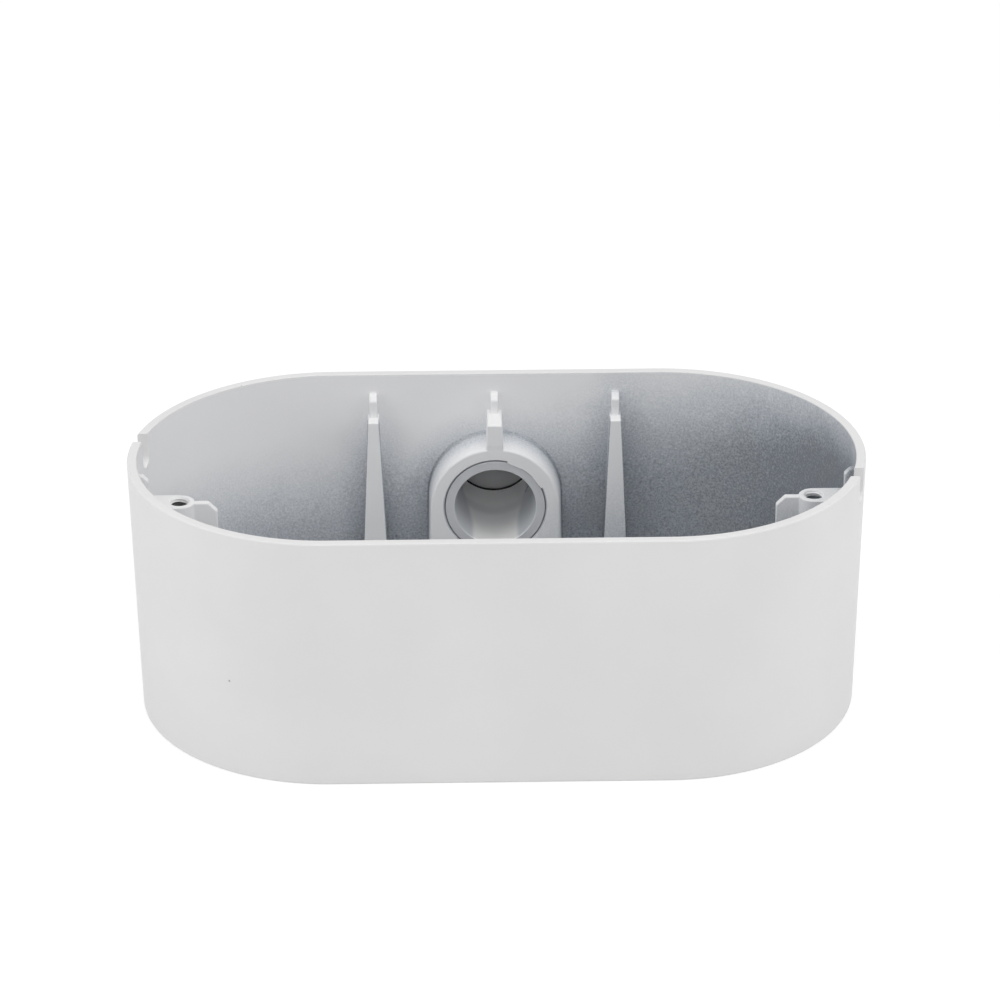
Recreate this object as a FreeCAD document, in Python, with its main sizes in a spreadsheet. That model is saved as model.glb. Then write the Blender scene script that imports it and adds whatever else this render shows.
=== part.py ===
import FreeCAD, Part
import Sketcher
import math
import os

# Overall sizes of the box: across its rim, and from its base to its rim. Millimetres and degrees throughout.
# The origin is the middle of the base, +X along the long side, +Y towards the cable entry.
BOX_LENGTH = 190.0
BOX_WIDTH = 104.0
BOX_HEIGHT = 69.0

# Driving sizes, by piece
SIZES = {
    # cast shell, a long box with two half-round ends
    "box_length": BOX_LENGTH,
    "box_width": BOX_WIDTH,
    "box_height": BOX_HEIGHT,
    "wall": 2.5,
    "floor_thickness": 3.0,
    "draft_angle": 1.5,
    "rim_outer_round": 0.5,
    "rim_inner_round": 0.3,
    "base_round": 0.5,
    "floor_fillet": 2.0,
    # ribs inside the long walls, each with a thin blade that the lid rests on
    "rib_pitch": 32.3,
    "rib_drop": 11.4,
    "rib_depth": 5.9,
    "rib_top_width": 3.1,
    "rib_side_angle": 1.9,
    "centre_rib_drop": 10.5,
    "centre_rib_width": 3.9,
    "blade_drop": 5.3,
    "blade_depth": 2.7,
    "blade_width": 2.1,
    "blade_corner": 1.5,
    # boss of the cable entry, cast on the rear wall
    "entry_height": 34.5,
    "boss_radius": 17.2,
    "boss_depth": 9.8,
    "boss_side_angle": 4.0,
    "pad_radius": 19.0,
    "pad_stand": 1.6,
    "entry_thread_radius": 13.335,
    "entry_mouth_chamfer": 0.3,
    # screw posts of the lid at the two ends
    "post_spacing": 164.0,
    "post_drop": 12.9,
    "post_radius": 4.0,
    "post_hole_radius": 2.1,
    "post_hole_depth": 16.0,
    "post_countersink": 0.6,
    "wing_reach": 9.8,
    "wing_drop": 0.25,
    "wing_thickness": 2.0,
    "wing_chamfer": 2.3,
    # round-bottomed slots in the rim, one at each end
    "slot_width": 4.8,
    "slot_depth": 8.6,
    "slot_reach": 4.0,
    "left_slot_offset": 11.4,
    "right_slot_offset": 13.8,
    # holes of the floor
    "fixing_spacing_long": 120.0,
    "fixing_spacing_wide": 60.0,
    "fixing_hole_radius": 2.75,
    "cable_hole_radius": 13.0,
    # hollow threaded sleeve in the entry
    "sleeve_bore_radius": 10.9,
    "sleeve_recess": 0.3,
    "sleeve_length": 20.0,
    "sleeve_chamfer": 0.4,
    # conduit hub outside the rear wall, with its gasket
    "gasket_thickness": 1.5,
    "gasket_outer_radius": 18.0,
    "hub_flats": 36.0,
    "hub_hex_length": 9.0,
    "spigot_radius": 14.6,
    "hex_corner_chamfer": 1.2,
    # screw cap that blanks the hub, with its seal ring
    "cap_face_reach": 33.9,
    "cap_flats": 34.0,
    "cap_end_thickness": 3.0,
    "cap_gap": 0.8,
    "seal_inner_radius": 10.4,
    "seal_outer_radius": 14.0,
    "seal_thickness": 1.0,
    # rubber grommet of the floor hole
    "grommet_flange_radius": 16.5,
    "grommet_flange_thickness": 1.5,
    "grommet_membrane": 1.2,
    "grommet_wall": 2.2,
    "grommet_lip_radius": 16.0,
    "grommet_recess": 1.0,
    "lip_room": 0.8,
    # play of each round fit
    "fit_clearance": 0.05,
}

FULL_TURN = 360
QUARTER_TURN = 90
HALF_TURN_RADIANS = math.pi
HEX_TURN = FULL_TURN // 6
HEX_HALF_TURN = HEX_TURN // 2

# How a sketch names the points of a curve, and its own axes
START_POINT, END_POINT, MIDDLE_POINT = 1, 2, 3
SKETCH_AXIS = -1

doc = FreeCAD.newDocument("junction_box")
sheet = doc.addObject("Spreadsheet::Sheet", "Sizes")
for row, (alias, size) in enumerate(SIZES.items(), start=1):
    sheet.set(f"A{row}", alias)
    sheet.set(f"B{row}", str(size))
    sheet.setAlias(f"B{row}", alias)
doc.recompute()


def bound(formula):
    """A formula on the sizes, as an expression on the sheet."""
    for alias in sorted(SIZES, key=len, reverse=True):
        formula = formula.replace("$" + alias, "Sizes." + alias)
    return formula


def value(formula):
    """What a formula on the sizes comes to."""
    return float(sheet.evalExpression(bound(formula)))


def vector(across, up):
    """A point of a sketch."""
    return FreeCAD.Vector(across, up, 0)


# Places that several pieces share
RIM_RADIUS = "$box_width / 2"
ROUND_END = "($box_length - $box_width) / 2"
LEAN = "tan($draft_angle)"
WALL_HEART = "($box_width - $wall - $box_height * tan($draft_angle)) / 2"
END_HEART = f"{ROUND_END} + {WALL_HEART}"
FLOOR_HEART = "($floor_thickness / 2)"
POST_TOP = "($box_height - $post_drop)"
BLADE_TOP = "($box_height - $blade_drop)"


def inner_wall(height):
    """Distance from the middle plane to the inside of a long wall at a height."""
    return f"({RIM_RADIUS} - $wall - ($box_height - ({height})) * {LEAN})"


BOSS_FACE = f"({inner_wall('$entry_height')} - $boss_depth)"
PAD_FACE = f"({RIM_RADIUS} - ($box_height - $entry_height) * {LEAN} + $pad_stand)"
HUB_FOOT = f"({PAD_FACE} + $gasket_thickness)"
CAP_FACE = f"({BOSS_FACE} + $cap_face_reach)"
SLEEVE_START = f"({BOSS_FACE} + $sleeve_recess)"

# Which side of the middle a wall or a rib stands on
WALLS = {"rear": 1, "front": -1}
COLUMNS = {"left": -1, "right": 1}


def new_body(name):
    """A piece, with its own label."""
    body = doc.addObject("PartDesign::Body", name)
    body.Label = name
    return body


def new_sketch(body, name, role, offset="0"):
    """A sketch on one of the piece's own planes, moved along the plane's normal."""
    plane = next(item for item in body.Origin.OriginFeatures if item.Role == role)
    sketch = body.newObject("Sketcher::SketchObject", name)
    sketch.AttachmentSupport = [(plane, "")]
    sketch.MapMode = "FlatFace"
    sketch.setExpression("AttachmentOffset.Base.z", bound(offset))
    return sketch


def hold(sketch, kind, references, formula):
    """A size of a sketch, bound to the sheet."""
    index = sketch.addConstraint(Sketcher.Constraint(kind, *references, value(formula)))
    sketch.setExpression(f"Constraints[{index}]", bound(formula))


def hold_point(sketch, curve, end, across, up):
    """The place of one point of a sketch."""
    hold(sketch, "DistanceX", (SKETCH_AXIS, START_POINT, curve, end), across)
    hold(sketch, "DistanceY", (SKETCH_AXIS, START_POINT, curve, end), up)


def join(sketch, one, other):
    """The end of one curve of a sketch is the start of another."""
    sketch.addConstraint(Sketcher.Constraint("Coincident", one, END_POINT, other, START_POINT))


def draw_polygon(sketch, corners):
    """A closed outline of straight lines, each corner bound to the sizes."""
    points = [vector(value(across), value(up)) for across, up in corners]
    first = len(sketch.Geometry)
    for index, start in enumerate(points):
        finish = points[(index + 1) % len(points)]
        sketch.addGeometry(Part.LineSegment(start, finish), False)
    for index, (across, up) in enumerate(corners):
        following = (index + 1) % len(points)
        join(sketch, first + index, first + following)
        hold_point(sketch, first + index, START_POINT, across, up)


def draw_circle(sketch, across, up, radius):
    """A circle, its middle and radius bound to the sizes."""
    middle = vector(value(across), value(up))
    curve = sketch.addGeometry(Part.Circle(middle, FreeCAD.Vector(0, 0, 1), value(radius)), False)
    hold_point(sketch, curve, MIDDLE_POINT, across, up)
    hold(sketch, "Radius", (curve,), radius)


def draw_arch(sketch, across, up, radius, feet, lower=False):
    """A half circle closed by straight sides to two feet, which follow on from the arc's end."""
    middle = vector(value(across), value(up))
    circle = Part.Circle(middle, FreeCAD.Vector(0, 0, 1), value(radius))
    start = HALF_TURN_RADIANS if lower else 0.0
    finish = start + HALF_TURN_RADIANS
    arc = sketch.addGeometry(Part.ArcOfCircle(circle, start, finish), False)
    points = [vector(value(x), value(y)) for x, y in feet]
    points = [circle.value(finish)] + points + [circle.value(start)]
    lines = []
    for one, other in zip(points, points[1:]):
        lines.append(sketch.addGeometry(Part.LineSegment(one, other), False))
    outline = [arc, *lines]
    for one, other in zip(outline, lines + [arc]):
        join(sketch, one, other)
    hold_point(sketch, arc, MIDDLE_POINT, across, up)
    hold(sketch, "Radius", (arc,), radius)
    for end in (START_POINT, END_POINT):
        hold(sketch, "DistanceY", (SKETCH_AXIS, START_POINT, arc, end), up)
    for line, (x, y) in zip(lines[1:], feet):
        hold_point(sketch, line, START_POINT, x, y)


def draw_stadium(sketch, half_straight, radius):
    """Two half circles joined by straight sides."""
    middle, size = value(half_straight), value(radius)
    up = FreeCAD.Vector(0, 0, 1)
    quarter = HALF_TURN_RADIANS / 2
    rear, right, front, left = sketch.addGeometry([
        Part.LineSegment(vector(-middle, size), vector(middle, size)),
        Part.ArcOfCircle(Part.Circle(vector(middle, 0), up, size), -quarter, quarter),
        Part.LineSegment(vector(middle, -size), vector(-middle, -size)),
        Part.ArcOfCircle(Part.Circle(vector(-middle, 0), up, size), quarter, quarter + HALF_TURN_RADIANS),
    ], False)
    for line, line_end, arc, arc_end in (
        (rear, END_POINT, right, END_POINT),
        (front, START_POINT, right, START_POINT),
        (front, END_POINT, left, END_POINT),
        (rear, START_POINT, left, START_POINT),
    ):
        sketch.addConstraint(Sketcher.Constraint("Tangent", line, line_end, arc, arc_end))
    hold_point(sketch, right, MIDDLE_POINT, half_straight, "0")
    hold_point(sketch, left, MIDDLE_POINT, f"-({half_straight})", "0")
    hold(sketch, "Radius", (right,), radius)


def feature(body, kind, name, sketch, length, reverse=False, both_ways=False, taper=None):
    """A pad or pocket of a sketch, its length bound to the sizes."""
    item = body.newObject(f"PartDesign::{kind}", name)
    item.Profile = sketch
    item.setExpression("Length", bound(length))
    item.Reversed = reverse
    item.Midplane = both_ways
    if taper:
        item.setExpression("TaperAngle", bound(taper))
    sketch.Visibility = False
    doc.recompute()
    return item


def turned(body, name, corners):
    """A turned piece: an outline of (radius, height) corners spun about the piece's own Z."""
    sketch = new_sketch(body, f"{name}_section", "XZ_Plane")
    draw_polygon(sketch, corners)
    spin = body.newObject("PartDesign::Revolution", f"{name}_turned")
    spin.Profile = sketch
    spin.ReferenceAxis = (sketch, ["V_Axis"])
    spin.Angle = FULL_TURN
    doc.recompute()
    return spin


def dress(body, kind, name, base, wanted, size):
    """A fillet or chamfer on the edges of a feature that a test picks out."""
    edges = [f"Edge{number}" for number, edge in enumerate(base.Shape.Edges, start=1) if wanted(edge)]
    item = body.newObject(f"PartDesign::{kind}", name)
    item.Base = (base, edges)
    item.setExpression("Radius" if kind == "Fillet" else "Size", bound(size))
    doc.recompute()
    return item


def lies_at(edge, height, margin=0.01):
    """True for an edge that lies at one height all along."""
    return abs(edge.BoundBox.ZMin - height) < margin and abs(edge.BoundBox.ZMax - height) < margin


# Cast box: shell with draft, open at the rim
box = new_body("box_body")
rim_outline = new_sketch(box, "rim_outline", "XY_Plane", "$box_height")
draw_stadium(rim_outline, ROUND_END, RIM_RADIUS)
feature(box, "Pad", "shell", rim_outline, "$box_height", reverse=True, taper="-$draft_angle")

# Round pad outside the rear wall: the gasket's flat seat, square to the bore
pad_outline = new_sketch(box, "pad_outline", "XZ_Plane", f"-{PAD_FACE}")
draw_circle(pad_outline, "0", "$entry_height", "$pad_radius")
feature(box, "Pad", "entry_pad", pad_outline, f"{PAD_FACE} - {WALL_HEART}")

cavity_outline = new_sketch(box, "cavity_outline", "XY_Plane", "$box_height")
draw_stadium(cavity_outline, ROUND_END, f"{RIM_RADIUS} - $wall")
cavity_depth = "$box_height - $floor_thickness"
feature(box, "Pocket", "cavity", cavity_outline, cavity_depth, taper="-$draft_angle")

# Round-bottomed slots in the rim, not opposite each other
for column_name, side in COLUMNS.items():
    start = f"{side} * ({END_HEART}) + $slot_reach"
    slot = new_sketch(box, f"{column_name}_slot_outline", "YZ_Plane", start)
    middle = f"{-side} * ${column_name}_slot_offset"
    over_rim = "$box_height + $slot_width"
    mouth = [(f"{middle} + $slot_width / 2", over_rim), (f"{middle} - $slot_width / 2", over_rim)]
    bottom = "$box_height - $slot_depth + $slot_width / 2"
    draw_arch(slot, middle, bottom, "$slot_width / 2", mouth, lower=True)
    slotted = feature(box, "Pocket", f"{column_name}_rim_slot", slot, "2 * $slot_reach")


def spine_distance(edge):
    """How far the middle of an edge is from the line between the centres of the round ends."""
    middle = edge.valueAt((edge.FirstParameter + edge.LastParameter) / 2)
    return math.hypot(max(abs(middle.x) - value(ROUND_END), 0.0), middle.y)


rim_height = value("$box_height")
wall_middle = value(f"{RIM_RADIUS} - $wall / 2")
floor_height = value("$floor_thickness")
rounded = dress(box, "Fillet", "floor_corner", slotted,
                lambda edge: lies_at(edge, floor_height), "$floor_fillet")
rounded = dress(box, "Fillet", "base_edge", rounded,
                lambda edge: lies_at(edge, 0.0), "$base_round")
rounded = dress(box, "Fillet", "rim_outer_edge", rounded,
                lambda edge: lies_at(edge, rim_height) and spine_distance(edge) > wall_middle,
                "$rim_outer_round")
rounded = dress(box, "Fillet", "rim_inner_edge", rounded,
                lambda edge: lies_at(edge, rim_height) and spine_distance(edge) < wall_middle,
                "$rim_inner_round")

# Boss of the cable entry: an arch that runs down to the floor
arch = new_sketch(box, "boss_outline", "XZ_Plane", f"-{BOSS_FACE}")
foot_spread = f"$boss_radius + $entry_height * {LEAN}"
arch_feet = [(f"-({foot_spread})", FLOOR_HEART), (foot_spread, FLOOR_HEART)]
draw_arch(arch, "0", "$entry_height", "$boss_radius", arch_feet)
feature(box, "Pad", "entry_boss", arch, f"{WALL_HEART} - {BOSS_FACE}", reverse=True,
        taper="$boss_side_angle")


def add_rib(name, across, side, face, top, width):
    """A rib on a long wall, wider towards the floor; side is 1 for the rear wall, -1 for the front."""
    sketch = new_sketch(box, f"{name}_outline", "XZ_Plane", f"{-side} * ({face})")
    spread = f"({top} - {FLOOR_HEART}) * tan($rib_side_angle)"
    draw_polygon(sketch, [
        (f"{across} - {width} / 2 - {spread}", FLOOR_HEART),
        (f"{across} + {width} / 2 + {spread}", FLOOR_HEART),
        (f"{across} + {width} / 2", top),
        (f"{across} - {width} / 2", top),
    ])
    feature(box, "Pad", name, sketch, f"{WALL_HEART} - ({face})", reverse=side > 0)


RIB_TOP = "($box_height - $rib_drop)"
RIB_FACE = f"({inner_wall(RIB_TOP)} - $rib_depth)"
CENTRE_RIB_TOP = "($box_height - $centre_rib_drop)"
BLADE_FACE = f"({inner_wall(BLADE_TOP)} - $blade_depth)"

for wall_name, side in WALLS.items():
    for column_name, column in COLUMNS.items():
        rib_name = f"{wall_name}_{column_name}_rib"
        add_rib(rib_name, f"{column} * $rib_pitch", side, RIB_FACE, RIB_TOP, "$rib_top_width")
add_rib("rear_centre_rib", "0", 1, BOSS_FACE, CENTRE_RIB_TOP, "$centre_rib_width")
add_rib("front_centre_rib", "0", -1, RIB_FACE, RIB_TOP, "$rib_top_width")


def blade_corners(face, heart, foot, side):
    """Side view of a blade: it stands on a wall and has its top inner corner cut off."""
    return [
        (f"{side} * ({heart})", foot),
        (f"{side} * ({heart})", BLADE_TOP),
        (f"{side} * ({face} + $blade_corner)", BLADE_TOP),
        (f"{side} * ({face})", f"{BLADE_TOP} - $blade_corner"),
        (f"{side} * ({face})", foot),
    ]


# Blades on the ribs of both long walls
for wall_name, side in WALLS.items():
    for column_name, column in {"left": -1, "centre": 0, "right": 1}.items():
        blade_name = f"{wall_name}_{column_name}_blade"
        blade = new_sketch(box, f"{blade_name}_outline", "YZ_Plane", f"{column} * $rib_pitch")
        draw_polygon(blade, blade_corners(BLADE_FACE, WALL_HEART, f"{RIB_TOP} - $blade_width", side))
        feature(box, "Pad", blade_name, blade, "$blade_width", both_ways=True)

# Screw posts at the two ends, each tied to the end wall by a web, with a wing towards the middle
post_circles = new_sketch(box, "post_circles", "XY_Plane", POST_TOP)
for side in COLUMNS.values():
    draw_circle(post_circles, f"{side} * $post_spacing / 2", "0", "$post_radius")
feature(box, "Pad", "posts", post_circles, f"{POST_TOP} - {FLOOR_HEART}", reverse=True)

for column_name, side in COLUMNS.items():
    axis = f"{side} * $post_spacing / 2"
    web = new_sketch(box, f"{column_name}_web_outline", "XY_Plane", POST_TOP)
    draw_polygon(web, [
        (axis, "-$post_radius"),
        (f"{side} * ({END_HEART})", "-$post_radius"),
        (f"{side} * ({END_HEART})", "$post_radius"),
        (axis, "$post_radius"),
    ])
    feature(box, "Pad", f"{column_name}_web", web, f"{POST_TOP} - {FLOOR_HEART}", reverse=True)

    wing = new_sketch(box, f"{column_name}_wing_outline", "XZ_Plane")
    wing_end = f"{side} * ($post_spacing / 2 - $wing_reach)"
    wing_top = f"{POST_TOP} - $wing_drop"
    draw_polygon(wing, [
        (axis, FLOOR_HEART),
        (wing_end, FLOOR_HEART),
        (wing_end, f"{wing_top} - $wing_chamfer"),
        (f"{wing_end} + {side} * $wing_chamfer", wing_top),
        (axis, wing_top),
    ])
    feature(box, "Pad", f"{column_name}_wing", wing, "$wing_thickness", both_ways=True)

    end_blade = new_sketch(box, f"{column_name}_end_blade_outline", "XZ_Plane")
    draw_polygon(end_blade, blade_corners(f"{ROUND_END} + {BLADE_FACE}", END_HEART,
                                          f"{POST_TOP} - $blade_width", side))
    feature(box, "Pad", f"{column_name}_end_blade", end_blade, "$blade_width", both_ways=True)

# Threaded holes of the posts, the floor's holes and the bore of the entry
post_holes = new_sketch(box, "post_holes", "XY_Plane", POST_TOP)
for side in COLUMNS.values():
    draw_circle(post_holes, f"{side} * $post_spacing / 2", "0", "$post_hole_radius")
drilled = feature(box, "Pocket", "post_hole_pair", post_holes, "$post_hole_depth")
post_top = value(POST_TOP)
post_hole_radius = value("$post_hole_radius")


def is_circle(edge, radius, margin=0.01):
    """True for a round edge of one radius."""
    return isinstance(edge.Curve, Part.Circle) and abs(edge.Curve.Radius - radius) < margin


countersunk = dress(box, "Chamfer", "post_countersinks", drilled,
                    lambda edge: lies_at(edge, post_top) and is_circle(edge, post_hole_radius),
                    "$post_countersink")

fixing_holes = new_sketch(box, "fixing_holes", "XY_Plane", "$floor_thickness")
for along in (-1, 1):
    for wide in (-1, 1):
        draw_circle(fixing_holes, f"{along} * $fixing_spacing_long / 2",
                    f"{wide} * $fixing_spacing_wide / 2", "$fixing_hole_radius")
feature(box, "Pocket", "wall_fixing_holes", fixing_holes, "$floor_thickness")

cable_hole = new_sketch(box, "cable_hole", "XY_Plane", "$floor_thickness")
draw_circle(cable_hole, "0", "0", "$cable_hole_radius")
feature(box, "Pocket", "floor_cable_hole", cable_hole, "$floor_thickness")

lip_recess = new_sketch(box, "lip_recess", "XY_Plane", "$grommet_recess")
draw_circle(lip_recess, "0", "0", "$grommet_lip_radius + $lip_room")
feature(box, "Pocket", "grommet_lip_recess", lip_recess, "$grommet_recess")

bore_outline = new_sketch(box, "entry_bore_outline", "XZ_Plane", f"-{BOSS_FACE}")
BORE_RADIUS = "($entry_thread_radius + $fit_clearance)"
draw_circle(bore_outline, "0", "$entry_height", BORE_RADIUS)
bore = feature(box, "Pocket", "entry_bore", bore_outline, f"{PAD_FACE} - {BOSS_FACE}")
boss_face = value(BOSS_FACE)
bore_radius = value(BORE_RADIUS)


def lies_across(edge, place, margin=0.01):
    """True for an edge that lies at one distance behind the middle plane."""
    return abs(edge.BoundBox.YMin - place) < margin and abs(edge.BoundBox.YMax - place) < margin


dress(box, "Chamfer", "entry_mouth", bore,
      lambda edge: lies_across(edge, boss_face) and is_circle(edge, bore_radius),
      "$entry_mouth_chamfer")

def place_on_entry(body, distance):
    """Turn a piece's own Z to the axis of the entry and move it along that axis."""
    turn = FreeCAD.Rotation(FreeCAD.Vector(1, 0, 0), -QUARTER_TURN)
    body.Placement = FreeCAD.Placement(FreeCAD.Vector(), turn)
    body.setExpression("Placement.Base.y", bound(distance))
    body.setExpression("Placement.Base.z", bound("$entry_height"))
    doc.recompute()


def draw_hexagon(sketch, flats):
    """A hexagon with two flats up and down."""
    corner_radius = f"{flats} / 2 / cos({HEX_HALF_TURN})"
    corners = []
    for turn in range(0, FULL_TURN, HEX_TURN):
        corners.append((f"{corner_radius} * cos({turn})", f"{corner_radius} * sin({turn})"))
    draw_polygon(sketch, corners)


def add_hexagon(body, name, flats, start, length):
    """A hexagonal length of a piece, with its corners taken off at the far end."""
    sketch = new_sketch(body, f"{name}_outline", "XY_Plane", start)
    draw_hexagon(sketch, flats)
    prism = feature(body, "Pad", name, sketch, length)
    cutter = new_sketch(body, f"{name}_corner_section", "XZ_Plane")
    end = f"{start} + {length}"
    outside = f"{flats} / 2 / cos({HEX_HALF_TURN}) + $hex_corner_chamfer"
    inside = f"{outside} - 2 * $hex_corner_chamfer"
    draw_polygon(cutter, [
        (inside, end),
        (outside, f"{end} - 2 * $hex_corner_chamfer * tan({HEX_HALF_TURN})"),
        (outside, f"{end} + $hex_corner_chamfer"),
        (inside, f"{end} + $hex_corner_chamfer"),
    ])
    groove = body.newObject("PartDesign::Groove", f"{name}_corners")
    groove.Profile = cutter
    groove.ReferenceAxis = (cutter, ["V_Axis"])
    groove.Angle = FULL_TURN
    doc.recompute()
    if not groove.Shape.Volume < prism.Shape.Volume:
        raise RuntimeError(f"{name}: the corners weren't cut")
    return groove


def bore_out(body, name, radius, start, length):
    """A round hole along a piece's own Z, from a height up."""
    sketch = new_sketch(body, f"{name}_outline", "XY_Plane", start)
    draw_circle(sketch, "0", "0", radius)
    before = body.Shape.Volume
    hole = feature(body, "Pocket", name, sketch, length, reverse=True)
    if not hole.Shape.Volume < before:
        raise RuntimeError(f"{name}: the hole wasn't cut")
    return hole


# Hollow threaded sleeve, flush with the boss face inside the box
sleeve = new_body("entry_sleeve")
turned(sleeve, "sleeve", [
    ("$sleeve_bore_radius", "0"),
    ("$entry_thread_radius - $sleeve_chamfer", "0"),
    ("$entry_thread_radius", "$sleeve_chamfer"),
    ("$entry_thread_radius", "$sleeve_length"),
    ("$sleeve_bore_radius", "$sleeve_length"),
])
place_on_entry(sleeve, SLEEVE_START)

# Flat gasket between the box and the hub
gasket = new_body("hub_gasket")
turned(gasket, "gasket", [
    (BORE_RADIUS, "0"),
    ("$gasket_outer_radius", "0"),
    ("$gasket_outer_radius", "$gasket_thickness"),
    (BORE_RADIUS, "$gasket_thickness"),
])
place_on_entry(gasket, PAD_FACE)

# Conduit hub, screwed on the sleeve outside the box
hub = new_body("conduit_hub")
hub_length = f"({CAP_FACE} - $seal_thickness - {HUB_FOOT})"
hub_socket = f"({SLEEVE_START} + $sleeve_length - {HUB_FOOT})"
add_hexagon(hub, "hub_hexagon", "$hub_flats", "0", "$hub_hex_length")
spigot = new_sketch(hub, "spigot_outline", "XY_Plane")
draw_circle(spigot, "0", "0", "$spigot_radius")
feature(hub, "Pad", "cap_spigot", spigot, hub_length)
bore_out(hub, "sleeve_socket", BORE_RADIUS, "0", hub_socket)
bore_out(hub, "hub_bore", "$sleeve_bore_radius", hub_socket, f"{hub_length} - {hub_socket}")
place_on_entry(hub, HUB_FOOT)

# Seal ring on the end of the hub; its inner edge stands a little into the bore
seal = new_body("cap_seal_ring")
turned(seal, "seal", [
    ("$seal_inner_radius", "0"),
    ("$seal_outer_radius", "0"),
    ("$seal_outer_radius", "$seal_thickness"),
    ("$seal_inner_radius", "$seal_thickness"),
])
place_on_entry(seal, f"{CAP_FACE} - $seal_thickness")

# Screw cap over the end of the hub
cap = new_body("screw_cap")
cap_start = f"({HUB_FOOT} + $hub_hex_length + $cap_gap)"
cap_depth = f"({CAP_FACE} - {cap_start})"
add_hexagon(cap, "cap_hexagon", "$cap_flats", "0", f"{cap_depth} + $cap_end_thickness")
bore_out(cap, "cap_thread", "$spigot_radius + $fit_clearance", "0", cap_depth)
place_on_entry(cap, cap_start)

# Rubber grommet in the floor's cable hole, closed by a thin membrane
grommet = new_body("floor_grommet")
grommet_bore = "$cable_hole_radius - $grommet_wall"
membrane_top = "$floor_thickness"
membrane_bottom = "$floor_thickness - $grommet_membrane"
neck_radius = "$cable_hole_radius - $fit_clearance"
turned(grommet, "grommet", [
    ("0", membrane_bottom),
    (grommet_bore, membrane_bottom),
    (grommet_bore, "$fit_clearance"),
    ("$grommet_lip_radius", "$fit_clearance"),
    ("$grommet_lip_radius", "$grommet_recess"),
    (neck_radius, "$grommet_recess"),
    (neck_radius, "$floor_thickness"),
    ("$grommet_flange_radius", "$floor_thickness"),
    ("$grommet_flange_radius", "$floor_thickness + $grommet_flange_thickness"),
    (grommet_bore, "$floor_thickness + $grommet_flange_thickness"),
    (grommet_bore, membrane_top),
    ("0", membrane_top),
])

# Every feature has to be whole before a piece is written
doc.recompute()
for item in doc.Objects:
    if "Invalid" in item.State or "Error" in item.State:
        raise RuntimeError(f"{item.Name}: {item.State}")

pieces = [item for item in doc.Objects if item.TypeId == "PartDesign::Body"]
os.makedirs("parts", exist_ok=True)
for piece in pieces:
    if piece.Shape.isNull() or not piece.Shape.isValid() or len(piece.Shape.Solids) != 1:
        raise RuntimeError(f"{piece.Label}: not one sound solid")
    piece.Shape.exportStep(f"parts/{piece.Label}.step")
    extent = piece.Shape.BoundBox
    print(piece.Label, round(piece.Shape.Volume), "mm3", "z", round(extent.ZMin, 2), round(extent.ZMax, 2))
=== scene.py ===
"""Visual model of a cast camera junction box with a capped conduit entry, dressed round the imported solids."""

import logging
import math
from contextlib import contextmanager
from dataclasses import dataclass
from enum import Enum
from typing import Callable, Iterator, Sequence, Union

import bmesh
import bpy
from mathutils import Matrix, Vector


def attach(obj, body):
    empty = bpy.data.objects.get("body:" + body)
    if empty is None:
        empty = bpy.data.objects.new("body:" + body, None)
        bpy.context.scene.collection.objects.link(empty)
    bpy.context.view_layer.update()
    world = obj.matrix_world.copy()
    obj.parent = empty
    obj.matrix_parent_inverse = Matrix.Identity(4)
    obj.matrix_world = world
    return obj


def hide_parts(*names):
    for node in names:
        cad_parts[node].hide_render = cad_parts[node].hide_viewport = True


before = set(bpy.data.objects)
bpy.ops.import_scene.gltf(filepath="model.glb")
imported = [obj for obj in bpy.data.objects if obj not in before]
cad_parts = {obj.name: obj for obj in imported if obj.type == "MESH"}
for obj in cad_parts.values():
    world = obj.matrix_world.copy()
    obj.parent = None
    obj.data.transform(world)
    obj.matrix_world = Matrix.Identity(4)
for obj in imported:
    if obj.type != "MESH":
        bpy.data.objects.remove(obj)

LOG = logging.getLogger("junction_box")
ROOT = "root"
MM = 0.001  # a millimetre in metres
WELD = 0.002  # points nearer than this are one, in millimetres
NEAR = 0.01  # a place within this is the one that is meant, in millimetres
LEAST_TURN = 20.0  # an edge that turns less isn't rounded, in degrees
SMOOTH_TURN = 32.0  # an edge that turns more is shaded sharp, in degrees
NORMAL_WEIGHT = 60  # how strongly large faces lead the shading
FINE_STEPS = 128  # flats round the bore and its hole
Piece = bpy.types.Object
Edge = bmesh.types.BMEdge
Socket = bpy.types.NodeSocket
Point = tuple[float, float, float]
Range = tuple[float, float]
Value = Union[float, Point, "Field"]


class Element(Enum):
    """What a selection is made of."""

    VERTICES = "VERT"
    EDGES = "EDGE"
    FACES = "FACE"


class Cut(Enum):
    """How a second solid changes a first one."""

    JOIN = "UNION"
    REMOVE = "DIFFERENCE"
    KEEP_SHARED = "INTERSECT"


class Along(Enum):
    """Which way a round solid points."""

    UP = (0, 0, 1)
    BACK = (0, 1, 0)


def choose(piece: Piece) -> None:
    """Makes a piece the only one selected and the active one.

    Args:
        piece: the mesh object.
    """
    bpy.ops.object.select_all(action="DESELECT")
    piece.select_set(True)
    bpy.context.view_layer.objects.active = piece


@contextmanager
def editing(piece: Piece, element: Element = Element.FACES, everything: bool = False) -> Iterator[None]:
    """Edit mode on one piece.

    Args:
        piece: the mesh object to edit.
        element: what the select mode is.
        everything: whether all of it is selected at the start, or nothing.
    """
    choose(piece)
    bpy.ops.object.mode_set(mode="EDIT")
    bpy.ops.mesh.select_mode(type=element.value)
    bpy.ops.mesh.select_all(action="SELECT" if everything else "DESELECT")
    try:
        yield
    finally:
        bpy.ops.object.mode_set(mode="OBJECT")


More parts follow.
